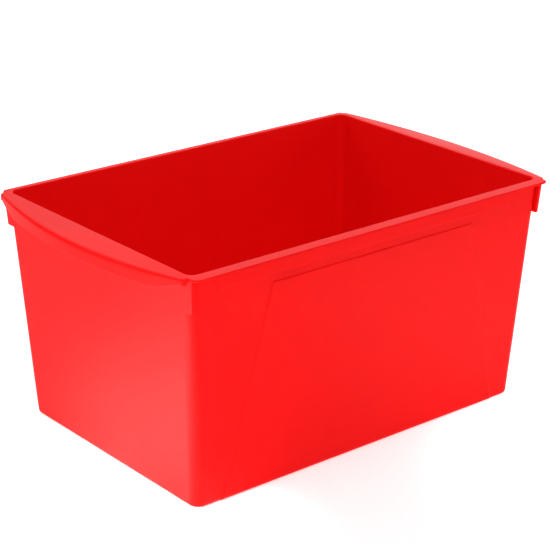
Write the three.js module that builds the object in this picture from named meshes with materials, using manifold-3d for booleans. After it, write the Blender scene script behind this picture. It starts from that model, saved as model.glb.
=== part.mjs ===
// A wide interlocking book bin: an open tapered tub, injection moulded in one shot of red polypropylene.
// The moulding is held as its walls, corners, floor, rim flanges and skirts, which meet face to face.
// Millimetres, +Z up, the long side along X, the hooked long side at -Y, standing on z = 0.
import * as THREE from "three";
import { mergeVertices } from "three/addons/utils/BufferGeometryUtils.js";
import Module from "manifold-3d";

// The tub
const HEIGHT = 175;
const RIM_LENGTH = 326; // over the end walls' outer faces, at the rim
const RIM_WIDTH = 223; // over the side walls' outer faces, at the rim
const LENGTH_TAPER = 10.5; // how far each end wall leans in from rim to base
const WIDTH_TAPER = 10; // how far each side wall leans in from rim to base
const CORNER_RADIUS = 8.5; // outside, at every height
const WALL = 2.6;
const FLOOR = 2.8;

// The rim
const RIM_THICKNESS = 1.6; // of every flange at the rim
const FRONT_OVERHANG = 7.5; // of the hook flange past the front wall
const BACK_OVERHANG = 3; // of the rim that the next bin's hook goes over
const SIDE_OVERHANG = 0.6; // past the end walls, at the four corners
const FRONT_CORNER = 5; // plan radius of the rim's front corners
const BACK_CORNER = 3; // plan radius of the rim's back corners
const HOOK_SKIRT = 1.6; // thickness
const HOOK_SKIRT_DROP = 10; // from the rim's top to the skirt's lower edge
const HOOK_SKIRT_END = 16.5; // from the end wall's rim to the top of the skirt's end
const HOOK_SKIRT_SLANT = 2.6; // how far that end leans in towards its bottom

// The handle lips
const LIP_REACH = 19; // past the end wall, halfway along it
const LIP_BOW = 425; // plan radius of the lip's outer edge
const LIP_HALF = 107.5; // half the length of that edge
const LIP_END = 111; // where the lip's rounded end comes back to the rim
const LIP_SKIRT = 1.8; // thickness
const LIP_SKIRT_DROP = 12; // from the rim's top to the skirt's lower edge
const LIP_SKIRT_GAP = 0.3; // between the skirt's ends and the end wall's rim
const LIP_SKIRT_FULL = 84; // the skirt has its full depth up to here on each side of the middle
const LIP_SKIRT_RISE = 7.6; // how far its bottom edge has risen at the lip's end

// The corner fins
const FIN_BOTTOM = 149; // height of the fins' lower edge
const FIN_THICKNESS = 2.6;
const FIN_NARROWING = 1.8; // how far the fin's outer edge leans in from top to bottom
const FIN_REACH = 2; // past the side wall

// The raised panel on each side wall
const PANEL_TOP = 155; // height of its upper edge
const PANEL_TOP_WIDTH = 186;
const PANEL_SPREAD = 0.244; // widening of each side, per millimetre down
const PANEL_STEP = 0.6;

const ARC_STEPS = 7; // facets in each quarter turn of a corner
const BOW_STEPS = 24; // facets along a handle lip's outer edge
const MARGIN = 20; // how far a cutting block reaches past what it cuts

const halfLength = RIM_LENGTH / 2;
const halfWidth = RIM_WIDTH / 2;
const plateBottom = HEIGHT - RIM_THICKNESS;
const hookBottom = HEIGHT - HOOK_SKIRT_DROP;
const lipBottom = HEIGHT - LIP_SKIRT_DROP; // halfway along the lip
const sideCut = halfLength - LENGTH_TAPER - CORNER_RADIUS; // the side walls end at these two planes
const endCut = halfWidth - WIDTH_TAPER - CORNER_RADIUS; // and the end walls at these
const hookCut = halfLength - HOOK_SKIRT_END; // the side rims end at this plane, where the hook's skirt ends
const lipCut = halfLength - WALL; // the handle lips begin at this plane

const wasm = await Module();
wasm.setup();

// A closed three.js geometry as a solid that can be joined and cut.
function solidOf(geometry) {
  const bare = geometry.clone();
  bare.deleteAttribute("normal");
  bare.deleteAttribute("uv");
  const merged = mergeVertices(bare, 1e-3);
  return new wasm.Manifold(
    new wasm.Mesh({
      numProp: 3,
      vertProperties: merged.attributes.position.array,
      triVerts: new Uint32Array(merged.index.array),
    }),
  );
}

// A solid back as a three.js geometry.
function geometryOf(solid) {
  const made = solid.getMesh();
  const geometry = new THREE.BufferGeometry();
  geometry.setAttribute("position", new THREE.BufferAttribute(made.vertProperties, 3));
  geometry.setIndex(new THREE.BufferAttribute(made.triVerts, 1));
  geometry.computeVertexNormals();
  return geometry;
}

// Moves every point of a geometry to place(point).
function mapPoints(geometry, place) {
  const position = geometry.attributes.position;
  const point = new THREE.Vector3();
  for (let i = 0; i < position.count; i++) {
    place(point.fromBufferAttribute(position, i));
    position.setXYZ(i, point.x, point.y, point.z);
  }
  return geometry;
}

// Share of the taper that is left at height z: 1 at the base, 0 at the rim.
const taperAt = (z) => 1 - z / HEIGHT;

// Leans a straight-sided geometry in towards its base, as the walls lean, with its corner radii kept.
function lean(geometry) {
  return mapPoints(geometry, (point) => {
    point.x -= Math.sign(point.x) * LENGTH_TAPER * taperAt(point.z);
    point.y -= Math.sign(point.y) * WIDTH_TAPER * taperAt(point.z);
  });
}

function extrude(shape, from, to, curveSegments = ARC_STEPS) {
  const geometry = new THREE.ExtrudeGeometry(shape, {
    depth: to - from,
    bevelEnabled: false,
    curveSegments,
  });
  return geometry.translate(0, 0, from);
}

// A block between two opposite corners, in either order.
function block(from, to) {
  const size = from.map((start, i) => Math.abs(to[i] - start));
  const middle = from.map((start, i) => (to[i] + start) / 2);
  return solidOf(new THREE.BoxGeometry(...size).translate(...middle));
}

function roundedRectangle(halfX, halfY, radius) {
  const shape = new THREE.Shape();
  shape.absarc(halfX - radius, halfY - radius, radius, 0, Math.PI / 2);
  shape.absarc(radius - halfX, halfY - radius, radius, Math.PI / 2, Math.PI);
  shape.absarc(radius - halfX, radius - halfY, radius, Math.PI, 1.5 * Math.PI);
  shape.absarc(halfX - radius, radius - halfY, radius, 1.5 * Math.PI, 2 * Math.PI);
  return shape;
}

// How far a lip's outer edge stands past the end wall's rim at a distance y from the middle.
function lipReach(y, inset = 0) {
  const radius = LIP_BOW - inset;
  return LIP_REACH - LIP_BOW + Math.sqrt(radius * radius - y * y);
}

// The outer edge of the right-hand lip from the front to the back, drawn on a path, inset by a skirt's
// thickness for the skirt's inner face.
function drawLip(path, rootX, inset = 0) {
  const end = LIP_HALF - inset;
  const root = LIP_END - inset;
  const endX = halfLength + lipReach(end, inset);
  path.lineTo(rootX, -root);
  path.quadraticCurveTo(endX, -root, endX, -end);
  for (let i = 1; i <= BOW_STEPS; i++) {
    const y = -end + (2 * end * i) / BOW_STEPS;
    path.lineTo(halfLength + lipReach(y, inset), y);
  }
  path.quadraticCurveTo(endX, root, rootX, root);
}

// Plan outline of the whole rim, its two lips included. The left half mirrors the right.
function rimOutline() {
  const side = halfLength + SIDE_OVERHANG;
  const front = -(halfWidth + FRONT_OVERHANG);
  const back = halfWidth + BACK_OVERHANG;
  const right = new THREE.Path();
  right.moveTo(0, front);
  right.lineTo(side - FRONT_CORNER, front);
  right.absarc(side - FRONT_CORNER, front + FRONT_CORNER, FRONT_CORNER, -Math.PI / 2, 0);
  drawLip(right, side);
  right.lineTo(side, back - BACK_CORNER);
  right.absarc(side - BACK_CORNER, back - BACK_CORNER, BACK_CORNER, 0, Math.PI / 2);
  right.lineTo(0, back);
  const half = right.getPoints(ARC_STEPS);
  const mirrored = half.slice(1, -1).reverse();
  return new THREE.Shape([...half, ...mirrored.map((p) => new THREE.Vector2(-p.x, p.y))]);
}

// The tub's outer surface filled in, and its inner surface filled in and run out through base and rim.
const outer = solidOf(
  lean(extrude(roundedRectangle(halfLength, halfWidth, CORNER_RADIUS), 0, HEIGHT)),
);
const inner = solidOf(
  lean(
    extrude(
      roundedRectangle(halfLength - WALL, halfWidth - WALL, CORNER_RADIUS - WALL),
      -MARGIN,
      HEIGHT + MARGIN,
    ),
  ),
);
const walls = outer.subtract(inner);
const rimSlab = solidOf(extrude(rimOutline(), plateBottom, HEIGHT));
const rim = rimSlab.subtract(outer);

function tubFloor() {
  return inner.intersect(block([-halfLength, -halfWidth, 0], [halfLength, halfWidth, FLOOR]));
}

// The raised panel on a side wall: a low trapezium, open at the base. side is -1 at the front, 1 at the back.
function panel(side) {
  const topHalf = PANEL_TOP_WIDTH / 2;
  const baseHalf = topHalf + PANEL_SPREAD * (PANEL_TOP - FLOOR);
  const shape = new THREE.Shape([
    new THREE.Vector2(-baseHalf, FLOOR),
    new THREE.Vector2(baseHalf, FLOOR),
    new THREE.Vector2(topHalf, PANEL_TOP),
    new THREE.Vector2(-topHalf, PANEL_TOP),
  ]);
  const plate = new THREE.ExtrudeGeometry(shape, { depth: WALL / 2 + PANEL_STEP, bevelEnabled: false });
  plate.rotateX(Math.PI / 2);
  if (side > 0) {
    plate.rotateZ(Math.PI);
  }
  return solidOf(
    mapPoints(plate, (point) => {
      point.y += side * (halfWidth - WALL / 2 - WIDTH_TAPER * taperAt(point.z));
    }),
  );
}

function sideWall(side) {
  const plain = walls.intersect(
    block([-sideCut, side * endCut, 0], [sideCut, side * halfWidth, HEIGHT]),
  );
  return plain.add(panel(side));
}

function endWall(side) {
  return walls.intersect(
    block([side * sideCut, -endCut, 0], [side * halfLength, endCut, HEIGHT]),
  );
}

// A fin carries the end wall's outer face on past the rounded corner, under the rim.
function fin(sideX, sideY) {
  const root = halfWidth - CORNER_RADIUS;
  const shape = new THREE.Shape([
    new THREE.Vector2(root, FIN_BOTTOM),
    new THREE.Vector2(halfWidth + FIN_REACH - FIN_NARROWING, FIN_BOTTOM),
    new THREE.Vector2(halfWidth + FIN_REACH, plateBottom),
    new THREE.Vector2(root, plateBottom),
  ]);
  const plate = new THREE.ExtrudeGeometry(shape, { depth: FIN_THICKNESS, bevelEnabled: false });
  plate.rotateX(Math.PI / 2);
  plate.rotateZ(Math.PI / 2);
  if (sideY < 0) {
    plate.rotateZ(Math.PI);
  }
  plate.computeBoundingBox();
  const middle = (plate.boundingBox.min.x + plate.boundingBox.max.x) / 2;
  return solidOf(
    mapPoints(plate, (point) => {
      const place = halfLength - FIN_THICKNESS / 2 - LENGTH_TAPER * taperAt(point.z);
      point.x += sideX * place - middle;
    }),
  );
}

// A rounded corner, with its fin and the rim's corner above it.
function corner(sideX, sideY) {
  const near = [sideX * sideCut, sideY * endCut, 0];
  const bend = outer.intersect(block(near, [sideX * halfLength, sideY * halfWidth, HEIGHT]));
  const rimCorner = rimSlab.intersect(
    block(
      [sideX * hookCut, sideY * endCut, 0],
      [sideX * lipCut, sideY * (halfWidth + MARGIN), HEIGHT],
    ),
  );
  return bend.add(rimCorner).add(fin(sideX, sideY)).subtract(inner);
}

function sideRim(side) {
  return rim.intersect(block([-hookCut, 0, 0], [hookCut, side * (halfWidth + MARGIN), HEIGHT]));
}

function handleLip(side) {
  const far = halfLength + LIP_REACH + MARGIN;
  const reach = halfWidth + MARGIN;
  return rim.intersect(block([side * lipCut, -reach, 0], [side * far, reach, HEIGHT]));
}

// The skirt that turns down from the front flange's outer edge and makes it a hook. It stops short of
// the corners.
function hookSkirt() {
  const bottomHalf = hookCut - HOOK_SKIRT_SLANT;
  const shape = new THREE.Shape([
    new THREE.Vector2(-bottomHalf, hookBottom),
    new THREE.Vector2(bottomHalf, hookBottom),
    new THREE.Vector2(hookCut, plateBottom),
    new THREE.Vector2(hookCut, HEIGHT),
    new THREE.Vector2(-hookCut, HEIGHT),
    new THREE.Vector2(-hookCut, plateBottom),
  ]);
  const plate = new THREE.ExtrudeGeometry(shape, { depth: HOOK_SKIRT, bevelEnabled: false });
  plate.rotateX(Math.PI / 2);
  return solidOf(plate.translate(0, HOOK_SKIRT - halfWidth - FRONT_OVERHANG, 0));
}

// The plan of a lip, closed along a straight line at rootX.
function lipPlan(rootX, inset) {
  const plan = new THREE.Path();
  plan.moveTo(rootX, 0);
  drawLip(plan, rootX, inset);
  return new THREE.Shape(plan.getPoints(ARC_STEPS));
}

// The skirt under a lip: a bowed band whose lower edge rises towards its ends.
function lipSkirt(side) {
  const rootX = halfLength + LIP_SKIRT_GAP;
  const full = solidOf(extrude(lipPlan(rootX, 0), lipBottom, plateBottom));
  const hollow = solidOf(
    extrude(lipPlan(halfLength - WALL, LIP_SKIRT), lipBottom - MARGIN, HEIGHT),
  );
  const rise = new THREE.Shape([
    new THREE.Vector2(LIP_SKIRT_FULL, lipBottom),
    new THREE.Vector2(LIP_SKIRT_FULL, lipBottom - MARGIN),
    new THREE.Vector2(LIP_END, lipBottom - MARGIN),
    new THREE.Vector2(LIP_END, lipBottom + LIP_SKIRT_RISE),
  ]);
  const wedge = new THREE.ExtrudeGeometry(rise, { depth: 2 * halfLength, bevelEnabled: false });
  wedge.rotateX(Math.PI / 2);
  wedge.rotateZ(Math.PI / 2);
  const otherWedge = wedge.clone().rotateZ(Math.PI).translate(2 * halfLength, 0, 0);
  const band = full.subtract(hollow).subtract(solidOf(wedge)).subtract(solidOf(otherWedge));
  return side > 0 ? band : band.mirror([1, 0, 0]);
}

const bin = new THREE.Group();
bin.name = "book_bin";
// The front flange reaches out further than the back one, so the tub stands a little behind the origin.
bin.position.y = (FRONT_OVERHANG - BACK_OVERHANG) / 2;

function addPart(name, solid) {
  const material = new THREE.MeshStandardMaterial({ color: 0xe0161a, roughness: 0.42, metalness: 0 });
  const mesh = new THREE.Mesh(geometryOf(solid), material);
  mesh.name = name;
  bin.add(mesh);
}

addPart("tub_floor", tubFloor());
addPart("front_wall", sideWall(-1));
addPart("back_wall", sideWall(1));
addPart("front_rim_flange", sideRim(-1).subtract(hookSkirt()));
addPart("front_hook_skirt", hookSkirt());
addPart("back_rim", sideRim(1));
for (const [hand, sideX] of [["left", -1], ["right", 1]]) {
  addPart(`${hand}_end_wall`, endWall(sideX));
  addPart(`${hand}_handle_lip`, handleLip(sideX));
  addPart(`${hand}_handle_skirt`, lipSkirt(sideX));
  addPart(`front_${hand}_corner`, corner(sideX, -1));
  addPart(`back_${hand}_corner`, corner(sideX, 1));
}

export default bin;
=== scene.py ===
"""Looks of the book bin: one continuous moulding in red polypropylene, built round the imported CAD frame.

The moulding is swept. Stations run once round the tub, and each has a profile that runs from the inside
floor up the inner wall, over the rim, round its edge or skirt, down the outer wall and under the base.
Lengths are in metres. Plan positions are measured from the tub's centre until placed() shifts them.
"""

import math

import bmesh
import bpy
from mathutils import Matrix, Vector


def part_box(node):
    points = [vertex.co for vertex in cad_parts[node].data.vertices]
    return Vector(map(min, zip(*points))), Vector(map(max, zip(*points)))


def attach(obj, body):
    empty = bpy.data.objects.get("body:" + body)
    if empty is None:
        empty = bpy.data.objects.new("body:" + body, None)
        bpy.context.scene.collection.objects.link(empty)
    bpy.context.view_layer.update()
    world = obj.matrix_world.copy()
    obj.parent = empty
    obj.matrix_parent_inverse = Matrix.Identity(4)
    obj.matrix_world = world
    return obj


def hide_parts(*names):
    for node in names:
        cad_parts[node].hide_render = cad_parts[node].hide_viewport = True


MM = 0.001

# The tub
WALL = 2.6 * MM
CORNER_RADIUS = 8.5 * MM
FLOOR_FILLET = 4 * MM
FLOOR_BAND = 3 * FLOOR_FILLET  # from the inner wall to the flat middle of the floor
BASE_ROUNDING = 3 * MM
BASE_BAND = 4 * BASE_ROUNDING  # from the outer wall to the flat middle of the base
INNER_EDGE_ROUNDING = 1 * MM

# The rim
FRONT_CORNER = 5 * MM  # plan radii of the rim's corners
BACK_CORNER = 3 * MM
SIDE_OVERHANG = 0.6 * MM
RIM_ROUNDING = 0.7 * MM
HOOK_SKIRT_SLANT = 2.6 * MM
HOOK_SKIRT_END = 0.2 * MM  # length in which the skirt's end face runs back up to the rim
LIP_BOW = 425 * MM
LIP_HALF = 107.5 * MM
LIP_FALL = 1.5 * MM  # how far a lip's top falls from the inner edge to the bend, halfway along it
LIP_FALL_POWER = 1.5  # the fall starts gently and gets steeper
LIP_ROUNDING = 4 * MM
LIP_SKIRT = 1.8 * MM
LIP_SKIRT_FULL = 84 * MM
LIP_SKIRT_END_DEPTH = 5 * MM
SKIRT_EDGE = 0.35 * MM  # rounding of a skirt's lower edge
RIM_FILLET = 0.8 * MM  # between the rim's underside and the wall

# The corner fins
FIN_THICKNESS = 2.6 * MM
FIN_BOTTOM = 149 * MM
FIN_NARROWING = 1.8 * MM
FIN_REACH = 2 * MM  # past the side wall
FIN_EDGE = 0.4 * MM
FIN_MARGIN = 1 * MM  # tells a fin's free edges from those inside the tub

# The raised panel on each side wall
PANEL_TOP = 155 * MM
PANEL_TOP_HALF = 93 * MM
PANEL_SPREAD = 0.244  # how much wider half the panel gets, for each unit of depth
PANEL_STEP = 0.6 * MM
PANEL_BEVEL = 0.8 * MM

# How the skin is divided: steps round the tub, then steps and places along the profile
PANEL_STEPS = 9
HOOK_STEPS = 7  # from the panel's edge to the end of the hook's skirt
RIM_CORNER_STEPS = 6
LIP_END_STEPS = 6
LIP_STEPS = 14
FLOOR_FILLET_STEPS = 5
INNER_WALL_STEPS = 8
INNER_EDGE_STEPS = 4
RIM_TOP_SHARES = (0.1, 0.3, 0.5, 0.7, 0.88)
RIM_EDGE_STEPS = 6
SKIRT_SHARES = (0.35, 0.75)
SKIRT_EDGE_STEPS = 3
UNDERSIDE_SHARES = (0.3, 0.65)
RIM_FILLET_STEPS = 3
HEIGHTS_OVER_PANEL = (170 * MM, 166 * MM, 161 * MM, 157 * MM)
PANEL_FIRST_HEIGHT = PANEL_TOP - 5 * MM
PANEL_HEIGHT_STEPS = 11
BASE_ROUNDING_STEPS = 6
SAME_POINT = 0.002 * MM
SHARP_ANGLE = math.radians(32)

# The red plastic
DEEP_RED = (0.87, 0.0034, 0.0038, 1)
BRIGHT_RED = (0.9, 0.0044, 0.0046, 1)
DRIFT_SCALE = 11
GRAIN_SCALE = 2600
GRAIN_DEPTH = 0.04 * MM

# The studio
FLOOR_SIZE = 12
AIM = (0, 0, 0.08)
SOFT_BOX = (1.2, 0.9)
POOL_LAMP = (0.15, 0.15)

# The camera
VIEW_AZIMUTH = math.radians(-39.448)
VIEW_ELEVATION = math.radians(21.236)
VIEW_ROLL = math.radians(0.258)
VIEW_DISTANCE = 1.4007
VIEW_RISE = 0.0968
FOCAL_LENGTH = 119.28  # millimetres

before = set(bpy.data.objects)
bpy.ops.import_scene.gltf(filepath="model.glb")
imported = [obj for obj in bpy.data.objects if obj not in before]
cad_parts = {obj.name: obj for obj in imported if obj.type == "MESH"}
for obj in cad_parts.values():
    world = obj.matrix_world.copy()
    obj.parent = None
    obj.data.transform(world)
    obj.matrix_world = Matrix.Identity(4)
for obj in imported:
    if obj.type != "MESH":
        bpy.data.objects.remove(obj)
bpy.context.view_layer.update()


class Tub:
    """The sizes that the CAD nodes give."""

    front_low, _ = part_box("front_wall")
    _, back_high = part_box("back_wall")
    _, end_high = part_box("right_end_wall")
    floor_low, floor_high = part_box("tub_floor")
    flange_low, flange_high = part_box("front_rim_flange")
    hook_low, hook_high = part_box("front_hook_skirt")
    _, back_rim_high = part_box("back_rim")
    _, lip_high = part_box("right_handle_lip")
    lip_skirt_low, lip_skirt_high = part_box("right_handle_skirt")

    height = end_high.z
    floor = floor_high.z
    centre_y = (front_low.y + back_high.y) / 2
    half_length = end_high.x
    half_width = (back_high.y - front_low.y) / 2
    above_floor = 1 - floor / height
    length_taper = (half_length - WALL - floor_high.x) / above_floor
    width_taper = (half_width - WALL - (floor_high.y - floor_low.y) / 2) / above_floor
    plate = flange_high.z - flange_low.z
    plate_bottom = flange_low.z
    front_edge = centre_y - hook_low.y
    back_edge = back_rim_high.y - centre_y
    hook_skirt = hook_high.y - hook_low.y
    hook_end = hook_high.x
    hook_bottom = hook_low.z
    lip_reach = lip_high.x - half_length
    lip_end = (lip_skirt_high.y - lip_skirt_low.y) / 2
    lip_skirt_depth = height - lip_skirt_low.z


def half_length_at(z):
    """Half the length over the end walls' outer faces, at a height."""
    return Tub.half_length - Tub.length_taper * (1 - z / Tub.height)


def half_width_at(z):
    """Half the width over the side walls' outer faces, at a height."""
    return Tub.half_width - Tub.width_taper * (1 - z / Tub.height)


def lerp(a, b, share):
    return a + (b - a) * share


def shares(count):
    """count + 1 even shares from 0 to 1."""
    return [i / count for i in range(count + 1)]


def quarter_turn(count):
    """count + 1 even angles from 0 to a quarter turn."""
    return [math.pi / 2 * share for share in shares(count)]


class Station:
    """One place on the way round the tub, in the quarter that x_sign and y_sign name.

    edge is its plan point on the rim's outer edge. wall(z, inset), which each kind of station has, is its
    plan point on the outer wall at a height, moved inwards by inset.
    """

    slant = 0.0  # how far the skirt leans towards the middle of the wall at its lower edge
    skirt = WALL  # thickness of the skirt
    fall = 0.0  # how far the rim's top has fallen at its edge
    rounding = RIM_ROUNDING
    in_panel = False

    def __init__(self, x_sign, y_sign, edge, skirt_bottom):
        self.x_sign = x_sign
        self.y_sign = y_sign
        self.edge = Vector((x_sign * edge[0], y_sign * edge[1]))
        self.skirt_bottom = skirt_bottom

    def relief(self, z):
        """How far the panel stands out of the wall here."""
        return PANEL_STEP if self.in_panel and z < PANEL_TOP else 0.0


class SideStation(Station):
    """On a side wall. share is how far it is across the panel, or from the panel's edge to the corner."""

    def __init__(self, x_sign, y_sign, share, in_panel, skirt_bottom):
        self.share = share
        self.in_panel = in_panel
        edge_y = Tub.front_edge if y_sign < 0 else Tub.back_edge
        super().__init__(x_sign, y_sign, (self.along(Tub.height), edge_y), skirt_bottom)
        self.skirt = Tub.hook_skirt

    def along(self, z):
        panel_edge = PANEL_TOP_HALF + PANEL_SPREAD * (PANEL_TOP - z)
        if self.in_panel:
            return self.share * (panel_edge - PANEL_BEVEL / 2)
        return lerp(panel_edge + PANEL_BEVEL / 2, half_length_at(z) - CORNER_RADIUS, self.share)

    def wall(self, z, inset):
        return Vector((self.x_sign * self.along(z), self.y_sign * (half_width_at(z) - inset)))


class CornerStation(Station):
    """On a rounded corner, at an angle that is 0 at the side wall and a quarter turn at the end wall."""

    def __init__(self, x_sign, y_sign, angle, edge, skirt_bottom):
        self.angle = angle
        super().__init__(x_sign, y_sign, edge, skirt_bottom)

    def wall(self, z, inset):
        radius = CORNER_RADIUS - inset
        x = half_length_at(z) - CORNER_RADIUS + radius * math.sin(self.angle)
        y = half_width_at(z) - CORNER_RADIUS + radius * math.cos(self.angle)
        return Vector((self.x_sign * x, self.y_sign * y))


class EndStation(Station):
    """On an end wall. share is 0 halfway along it and 1 at the corner."""

    def __init__(self, x_sign, y_sign, share, edge, skirt_bottom):
        self.share = share
        super().__init__(x_sign, y_sign, edge, skirt_bottom)

    def wall(self, z, inset):
        y = self.share * (half_width_at(z) - CORNER_RADIUS)
        return Vector((self.x_sign * (half_length_at(z) - inset), self.y_sign * y))


def lip_edge(y):
    """Plan point on a lip's outer edge."""
    reach = Tub.lip_reach - LIP_BOW + math.sqrt(LIP_BOW**2 - y**2)
    return Tub.half_length + reach, y


def lip_fall(edge_x):
    """How far the lip's top has fallen at its outer edge, less where the lip is narrower."""
    return LIP_FALL * max(0.0, (edge_x - Tub.half_length) / Tub.lip_reach)


def lip_skirt_bottom(y):
    """The skirt's lower edge rises towards the lip's ends."""
    past = max(0.0, (y - LIP_SKIRT_FULL) / (LIP_HALF - LIP_SKIRT_FULL))
    return Tub.height - lerp(Tub.lip_skirt_depth, LIP_SKIRT_END_DEPTH, min(past, 1.0))


def on_lip(station, edge_x):
    """Gives a station the lip's fall, soft bend and thin skirt."""
    station.fall = lip_fall(edge_x)
    station.rounding = lerp(RIM_ROUNDING, LIP_ROUNDING, station.fall / LIP_FALL)
    station.skirt = LIP_SKIRT
    return station


def side_stations(x_sign, y_sign):
    """From the middle of a side wall to the start of its corner."""
    hooked = y_sign < 0
    bottom = Tub.hook_bottom if hooked else Tub.plate_bottom
    stations = [SideStation(x_sign, y_sign, share, True, bottom) for share in shares(PANEL_STEPS)]
    panel_edge = PANEL_TOP_HALF + PANEL_SPREAD * (PANEL_TOP - Tub.height) + PANEL_BEVEL / 2
    run = Tub.half_length - CORNER_RADIUS - panel_edge
    hook_share = (Tub.hook_end - panel_edge) / run
    past_share = (Tub.hook_end + HOOK_SKIRT_END - panel_edge) / run
    for share in shares(HOOK_STEPS):
        stations.append(SideStation(x_sign, y_sign, share * hook_share, False, bottom))
    stations[-1].slant = HOOK_SKIRT_SLANT if hooked else 0.0
    for share in (past_share, lerp(past_share, 1, 0.5)):
        stations.append(SideStation(x_sign, y_sign, share, False, Tub.plate_bottom))
    return stations


def corner_stations(x_sign, y_sign):
    """Round a corner, with the rim's own corner and the rounded end of the lip."""
    edge_y = Tub.front_edge if y_sign < 0 else Tub.back_edge
    radius = FRONT_CORNER if y_sign < 0 else BACK_CORNER
    side = Tub.half_length + SIDE_OVERHANG
    plain = Tub.plate_bottom
    start = Tub.half_length - CORNER_RADIUS
    edges = [(lerp(start, side - radius, share), edge_y, plain) for share in (0, 0.5)]
    for turn in quarter_turn(RIM_CORNER_STEPS):
        x = side - radius + radius * math.sin(turn)
        y = edge_y - radius + radius * math.cos(turn)
        edges.append((x, y, plain))
    edges.append((side, Tub.lip_end, plain))
    end_x, _ = lip_edge(LIP_HALF)
    for share in shares(LIP_END_STEPS)[1:]:
        # A quadratic curve from the rim to the lip's bowed edge, round the corner between them.
        x = lerp(lerp(side, end_x, share), end_x, share)
        y = lerp(Tub.lip_end, lerp(Tub.lip_end, LIP_HALF, share), share)
        edges.append((x, y, lip_skirt_bottom(y)))
    for share in (0.5, 1):
        x, y = lip_edge(lerp(LIP_HALF, Tub.half_width - CORNER_RADIUS, share))
        edges.append((x, y, lip_skirt_bottom(y)))
    stations = []
    for turn, (x, y, bottom) in zip(quarter_turn(len(edges) - 1), edges):
        station = CornerStation(x_sign, y_sign, turn, (x, y), bottom)
        stations.append(on_lip(station, x) if bottom < plain else station)
    return stations


def end_stations(x_sign, y_sign):
    """From the end of a corner to the middle of the end wall."""
    stations = []
    for share in shares(LIP_STEPS)[1:]:
        from_middle = 1 - share
        x, y = lip_edge(from_middle * (Tub.half_width - CORNER_RADIUS))
        station = EndStation(x_sign, y_sign, from_middle, (x, y), lip_skirt_bottom(y))
        stations.append(on_lip(station, x))
    return stations


def quarter(x_sign, y_sign):
    return side_stations(x_sign, y_sign) + corner_stations(x_sign, y_sign) + end_stations(x_sign, y_sign)


def all_stations():
    """Anticlockwise from the middle of the front wall, with each shared station once."""
    loop = quarter(1, -1)
    loop += quarter(1, 1)[-2::-1]
    loop += quarter(-1, 1)[1:]
    loop += quarter(-1, -1)[-2:0:-1]
    for before, station, after in zip(loop[-1:] + loop[:-1], loop, loop[1:] + loop[:1]):
        way = (after.edge - before.edge).normalized()
        station.normal = Vector((way.y, -way.x))
    return loop


def inner_profile(station):
    """From the inside floor up to the rounded inner edge of the rim."""
    points = [(station.wall(Tub.floor, WALL + FLOOR_BAND), Tub.floor)]
    for turn in quarter_turn(FLOOR_FILLET_STEPS):
        z = Tub.floor + FLOOR_FILLET * (1 - math.cos(turn))
        points.append((station.wall(z, WALL + FLOOR_FILLET * (1 - math.sin(turn))), z))
    low = Tub.floor + FLOOR_FILLET
    high = Tub.height - INNER_EDGE_ROUNDING
    for share in shares(INNER_WALL_STEPS)[1:-1]:
        z = lerp(low, high, share)
        points.append((station.wall(z, WALL), z))
    for turn in quarter_turn(INNER_EDGE_STEPS):
        z = high + INNER_EDGE_ROUNDING * math.sin(turn)
        points.append((station.wall(z, WALL - INNER_EDGE_ROUNDING * (1 - math.cos(turn))), z))
    return points


def rim_profile(station):
    """Over the rim, down its edge or skirt, and back under it to the wall."""
    radius = station.rounding
    start = station.wall(Tub.height, WALL - INNER_EDGE_ROUNDING)
    edge = station.edge
    normal = station.normal
    end = edge - normal * radius
    points = []
    for share in RIM_TOP_SHARES:
        points.append((start.lerp(end, share), Tub.height - station.fall * share**LIP_FALL_POWER))
    top = Tub.height - station.fall
    for turn in quarter_turn(RIM_EDGE_STEPS):
        plan = edge - normal * radius * (1 - math.sin(turn))
        points.append((plan, top - radius * (1 - math.cos(turn))))
    underside = top - Tub.plate
    bottom = min(station.skirt_bottom, underside)
    for share in SKIRT_SHARES:
        points.append((edge, lerp(top - radius, bottom + SKIRT_EDGE, share)))
    for turn in quarter_turn(SKIRT_EDGE_STEPS):
        inset = SKIRT_EDGE * (1 - math.cos(turn))
        points.append((edge - normal * inset, bottom + SKIRT_EDGE * (1 - math.sin(turn))))
    for turn in quarter_turn(SKIRT_EDGE_STEPS):
        inset = station.skirt - SKIRT_EDGE * (1 - math.sin(turn))
        rise = SKIRT_EDGE * (1 - math.cos(turn))
        points.append((edge - normal * inset, min(bottom + rise, underside)))
    inner = edge - normal * station.skirt
    for share in (*SKIRT_SHARES, 1):
        points.append((inner, lerp(min(bottom + SKIRT_EDGE, underside), underside, share)))
    depth = max(Tub.plate_bottom - bottom, MM)  # never 0, where there is no skirt
    slanted = []
    for plan, z in points:
        shift = station.slant * max(0.0, Tub.plate_bottom - z) / depth
        slanted.append((plan - Vector((station.x_sign * shift, 0)), z))
    foot = station.wall(Tub.plate_bottom, -RIM_FILLET)
    for share in UNDERSIDE_SHARES:
        slanted.append((inner.lerp(foot, share), lerp(underside, Tub.plate_bottom, share)))
    for turn in quarter_turn(RIM_FILLET_STEPS):
        z = Tub.plate_bottom - RIM_FILLET * (1 - math.cos(turn))
        slanted.append((station.wall(z, -RIM_FILLET * (1 - math.sin(turn))), z))
    return slanted


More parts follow.
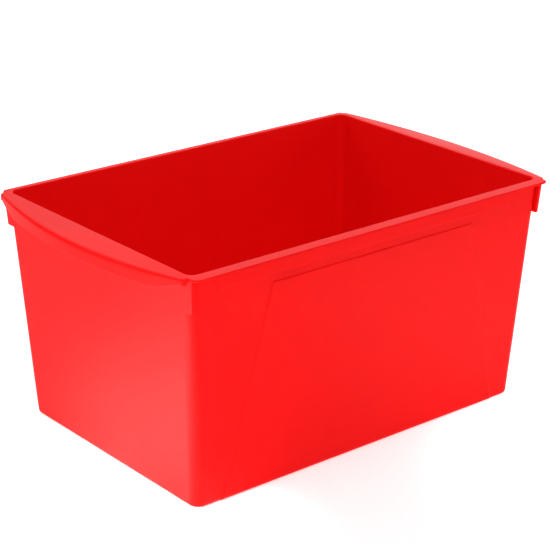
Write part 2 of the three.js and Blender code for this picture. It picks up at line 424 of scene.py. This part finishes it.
def outer_profile(station):
    """Down the outer wall, with the raised panel, and round the base edge."""
    panel_shares = shares(PANEL_HEIGHT_STEPS)[:-1]
    heights = [*HEIGHTS_OVER_PANEL, PANEL_TOP + PANEL_BEVEL / 2, PANEL_TOP - PANEL_BEVEL / 2]
    heights += [lerp(PANEL_FIRST_HEIGHT, BASE_ROUNDING, share) for share in panel_shares]
    points = [(station.wall(z, -station.relief(z)), z) for z in heights]
    for turn in quarter_turn(BASE_ROUNDING_STEPS):
        z = BASE_ROUNDING * (1 - math.sin(turn))
        inset = BASE_ROUNDING * (1 - math.cos(turn)) - station.relief(z)
        points.append((station.wall(z, inset), z))
    points.append((station.wall(0, BASE_BAND), 0.0))
    return points


def placed(plan, z):
    return Vector((plan.x, plan.y + Tub.centre_y, z))


def sweep_tub(mesh):
    """The whole moulding but its fins, as one closed skin."""
    rings = []
    for station in all_stations():
        profile = inner_profile(station) + rim_profile(station) + outer_profile(station)
        rings.append([mesh.verts.new(placed(plan, z)) for plan, z in profile])
    for ring, following in zip(rings, rings[1:] + rings[:1]):
        for four_corners in zip(ring, ring[1:], following[1:], following):
            mesh.faces.new(four_corners)
    mesh.faces.new([ring[0] for ring in rings])
    mesh.faces.new([ring[-1] for ring in reversed(rings)])
    bmesh.ops.remove_doubles(mesh, verts=mesh.verts, dist=SAME_POINT)


def fin(x_sign, y_sign):
    """A flat plate that carries the end wall's outer face on past the rounded corner, under the rim."""
    mesh = bmesh.new()
    root = Tub.half_width - CORNER_RADIUS
    top = Tub.plate_bottom + Tub.plate / 2
    tip = Tub.half_width + FIN_REACH
    outline = [(root, FIN_BOTTOM), (tip - FIN_NARROWING, FIN_BOTTOM), (tip, top), (root, top)]
    sides = []
    for inset in (0, FIN_THICKNESS):
        corners = []
        for y, z in outline:
            plan = Vector((x_sign * (half_length_at(z) - inset), y_sign * y))
            corners.append(mesh.verts.new(placed(plan, z)))
        sides.append(corners)
    outer, inner = sides
    mesh.faces.new(outer)
    mesh.faces.new(inner[::-1])
    for i in range(len(outline)):
        mesh.faces.new((outer[i], outer[i - 1], inner[i - 1], inner[i]))
    bmesh.ops.recalc_face_normals(mesh, faces=mesh.faces)

    def is_free(edge):
        ends = [corner.co for corner in edge.verts]
        past_root = all(abs(end.y - Tub.centre_y) > root + FIN_MARGIN for end in ends)
        return past_root or all(end.z < FIN_BOTTOM + FIN_MARGIN for end in ends)

    free = [edge for edge in mesh.edges if is_free(edge)]
    bmesh.ops.bevel(mesh, geom=free, offset=FIN_EDGE, segments=3, affect="EDGES", profile=0.5)
    return mesh


def new_object(name, mesh):
    """Puts a bmesh in the scene, and frees it."""
    data = bpy.data.meshes.new(name)
    mesh.to_mesh(data)
    mesh.free()
    obj = bpy.data.objects.new(name, data)
    bpy.context.scene.collection.objects.link(obj)
    return obj


def join_fins(bin_object):
    """Unites each fin with the tub, so that the moulding stays one closed skin."""
    for x_sign in (-1, 1):
        for y_sign in (-1, 1):
            fin_object = new_object("fin", fin(x_sign, y_sign))
            union = bin_object.modifiers.new("fin", "BOOLEAN")
            union.operation = "UNION"
            union.solver = "MANIFOLD"
            union.object = fin_object
            bpy.context.view_layer.objects.active = bin_object
            bpy.ops.object.modifier_apply(modifier=union.name)
            bpy.data.objects.remove(fin_object)


def smooth(obj, angle):
    """Shades an object smooth, but for the edges that turn by more than the angle."""
    mesh = bmesh.new()
    mesh.from_mesh(obj.data)
    for face in mesh.faces:
        face.smooth = True
    for edge in mesh.edges:
        edge.smooth = edge.calc_face_angle(0) < angle
    mesh.to_mesh(obj.data)
    mesh.free()
    weighted = obj.modifiers.new("weighted normals", "WEIGHTED_NORMAL")
    weighted.keep_sharp = True


def node(tree, kind, **values):
    """A new shader node, with these values on its sockets."""
    made = tree.nodes.new(kind)
    for name, value in values.items():
        made.inputs[name].default_value = value
    return made


def red_polypropylene():
    """Satin moulded plastic, with a fine grain and a slow drift in gloss and colour."""
    material = bpy.data.materials.new("red_polypropylene")
    material.use_nodes = True
    tree = material.node_tree
    shader = tree.nodes["Principled BSDF"]
    shader.inputs["IOR"].default_value = 1.49
    shader.inputs["Specular IOR Level"].default_value = 0.05
    link = tree.links.new
    place = node(tree, "ShaderNodeTexCoord").outputs["Object"]

    drift = node(tree, "ShaderNodeTexNoise", Scale=DRIFT_SCALE, Detail=3, Roughness=0.55)
    link(place, drift.inputs["Vector"])
    colour = node(tree, "ShaderNodeValToRGB")
    deep, bright = colour.color_ramp.elements
    deep.position = 0.3
    deep.color = DEEP_RED
    bright.position = 0.7
    bright.color = BRIGHT_RED
    link(drift.outputs["Fac"], colour.inputs["Fac"])
    link(colour.outputs["Color"], shader.inputs["Base Color"])

    gloss = node(tree, "ShaderNodeMapRange")
    gloss.inputs["To Min"].default_value = 0.36
    gloss.inputs["To Max"].default_value = 0.46
    link(drift.outputs["Fac"], gloss.inputs["Value"])
    link(gloss.outputs["Result"], shader.inputs["Roughness"])

    grain = node(tree, "ShaderNodeTexNoise", Scale=GRAIN_SCALE, Detail=2)
    link(place, grain.inputs["Vector"])
    bump = node(tree, "ShaderNodeBump", Strength=0.12, Distance=GRAIN_DEPTH)
    link(grain.outputs["Fac"], bump.inputs["Height"])
    link(bump.outputs["Normal"], shader.inputs["Normal"])
    return material


def make_bin():
    mesh = bmesh.new()
    sweep_tub(mesh)
    bin_object = new_object("book_bin", mesh)
    join_fins(bin_object)
    smooth(bin_object, SHARP_ANGLE)
    bin_object.data.materials.clear()  # the unions leave an empty slot
    bin_object.data.materials.append(red_polypropylene())
    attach(bin_object, "root")
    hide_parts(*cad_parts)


def make_floor():
    bpy.ops.mesh.primitive_plane_add(size=FLOOR_SIZE, location=(0, 0, 0))
    floor = bpy.context.object
    floor.name = "floor"
    material = bpy.data.materials.new("floor")
    material.use_nodes = True
    shader = material.node_tree.nodes["Principled BSDF"]
    shader.inputs["Base Color"].default_value = (0.95, 0.95, 0.95, 1)
    shader.inputs["Roughness"].default_value = 0.9
    shader.inputs["Specular IOR Level"].default_value = 0.1
    shader.inputs["Emission Color"].default_value = (1, 1, 1, 1)
    shader.inputs["Emission Strength"].default_value = 0.38
    floor.data.materials.append(material)


def area_light(name, location, aim, size, power, spread=math.pi):
    light = bpy.data.lights.new(name, "AREA")
    light.shape = "RECTANGLE"
    light.size, light.size_y = size
    light.energy = power
    light.spread = spread
    obj = bpy.data.objects.new(name, light)
    bpy.context.scene.collection.objects.link(obj)
    obj.location = location
    obj.rotation_euler = (Vector(aim) - Vector(location)).to_track_quat("-Z", "Y").to_euler()


def make_lights():
    """Soft boxes round the bin, and two small lamps that brighten the floor where the walls reflect it."""
    world = bpy.data.worlds.new("studio")
    world.use_nodes = True
    background = world.node_tree.nodes["Background"]
    background.inputs["Color"].default_value = (1, 1, 1, 1)
    background.inputs["Strength"].default_value = 0.3
    bpy.context.scene.world = world
    area_light("overhead", (-0.49, -0.49, 1.55), AIM, SOFT_BOX, 9)
    area_light("front", (0, -1.2, 1.2), AIM, SOFT_BOX, 2.8)
    area_light("behind", (0, 1.2, 1.2), AIM, SOFT_BOX, 13)
    area_light("behind right", (1.16, 1.16, 0.44), AIM, SOFT_BOX, 6)
    area_light("front right", (0.97, -0.76, 0.4), AIM, (0.5, 0.5), 1.8)
    area_light("left", (-1.36, 0.5, 0.39), AIM, (0.7, 0.5), 1)
    area_light("left pool", (-0.55, -0.13, 0.9), (-0.36, -0.06, 0), POOL_LAMP, 5.6, math.radians(24))
    area_light("right pool", (0.3, -0.42, 0.9), (0.21, -0.27, 0), POOL_LAMP, 0.6, math.radians(22))
    bpy.context.scene.view_settings.view_transform = "Standard"


def make_camera():
    """At the photograph's viewing angle. VIEW_RISE lifts the aim above the middle of the tub's base."""
    back = Vector((
        math.sin(VIEW_AZIMUTH) * math.cos(VIEW_ELEVATION),
        -math.cos(VIEW_AZIMUTH) * math.cos(VIEW_ELEVATION),
        math.sin(VIEW_ELEVATION),
    ))
    level = Vector((math.cos(VIEW_AZIMUTH), math.sin(VIEW_AZIMUTH), 0))
    roll = Matrix.Rotation(VIEW_ROLL, 3, back)
    right = roll @ level
    up = back.cross(right)
    camera_data = bpy.data.cameras.new("camera")
    camera_data.lens = FOCAL_LENGTH
    camera = bpy.data.objects.new("camera", camera_data)
    bpy.context.scene.collection.objects.link(camera)
    aim = Vector((0, Tub.centre_y, 0)) + up * VIEW_RISE
    turned = Matrix((right, up, back)).transposed().to_4x4()
    camera.matrix_world = Matrix.Translation(aim + back * VIEW_DISTANCE) @ turned
    bpy.context.scene.camera = camera


make_bin()
make_floor()
make_lights()
make_camera()
